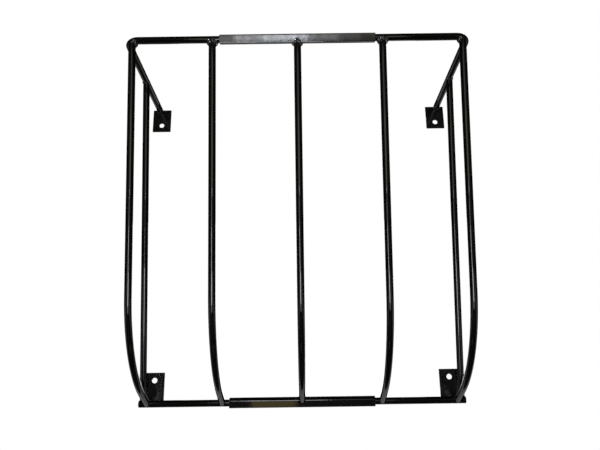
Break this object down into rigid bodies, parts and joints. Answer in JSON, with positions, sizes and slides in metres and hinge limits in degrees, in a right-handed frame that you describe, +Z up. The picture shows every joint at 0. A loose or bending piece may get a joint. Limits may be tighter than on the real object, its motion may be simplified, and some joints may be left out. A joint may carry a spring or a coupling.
{
  "type": "wall hay rack",
  "caption": "Wall-hung hay rack: square-sleeved top and bottom rails, round tube bars that curve in to the wall, side arms and drilled wall plates.",
  "frame": {"origin": "on the wall face, midway across the rack, level with the underside of the bottom rails", "axes": "+X to the right as seen from the front, +Y into the wall, +Z up; the rack's front faces -Y"},
  "size_m": [0.7806, 0.3422, 0.7857],
  "materials": {
    "tube_enamel": "gloss black stove enamel on round steel tube",
    "sleeve_enamel": "gloss black stove enamel on square steel tube",
    "plate_enamel": "semi-gloss black enamel over flat steel strip",
    "weld_enamel": "gloss black enamel over a rippled weld bead"
  },
  "bodies": {
    "left_frame": {"top_rail_left": "tube_enamel", "bottom_rail_left": "tube_enamel", "outer_bar_left": "tube_enamel", "outer_bar_left_top_weld": "weld_enamel", "outer_bar_left_foot_weld": "weld_enamel", "inner_bar_left": "tube_enamel", "inner_bar_left_top_weld": "weld_enamel", "inner_bar_left_foot_weld": "weld_enamel", "upright_left": "tube_enamel", "upright_left_top_weld": "weld_enamel", "upper_plate_left": "plate_enamel", "lower_plate_left": "plate_enamel", "arm_weld_left": "weld_enamel", "seam_weld_left": "weld_enamel"},
    "centre_section": {"top_sleeve": "sleeve_enamel", "bottom_sleeve": "sleeve_enamel", "centre_bar": "tube_enamel", "centre_bar_top_weld": "weld_enamel", "centre_bar_foot_weld": "weld_enamel"},
    "right_frame": {"top_rail_right": "tube_enamel", "bottom_rail_right": "tube_enamel", "outer_bar_right": "tube_enamel", "outer_bar_right_top_weld": "weld_enamel", "outer_bar_right_foot_weld": "weld_enamel", "inner_bar_right": "tube_enamel", "inner_bar_right_top_weld": "weld_enamel", "inner_bar_right_foot_weld": "weld_enamel", "upright_right": "tube_enamel", "upright_right_top_weld": "weld_enamel", "upper_plate_right": "plate_enamel", "lower_plate_right": "plate_enamel", "arm_weld_right": "weld_enamel", "seam_weld_right": "weld_enamel"}
  },
  "joints": [
    {"name": "centre_section_slide", "type": "slide", "parent": "left_frame", "child": "centre_section", "axis": [1, 0, 0], "range_m": [0, 0.07]},
    {"name": "right_frame_slide", "type": "slide", "parent": "centre_section", "child": "right_frame", "axis": [1, 0, 0], "range_m": [0, 0.07]}
  ]
}
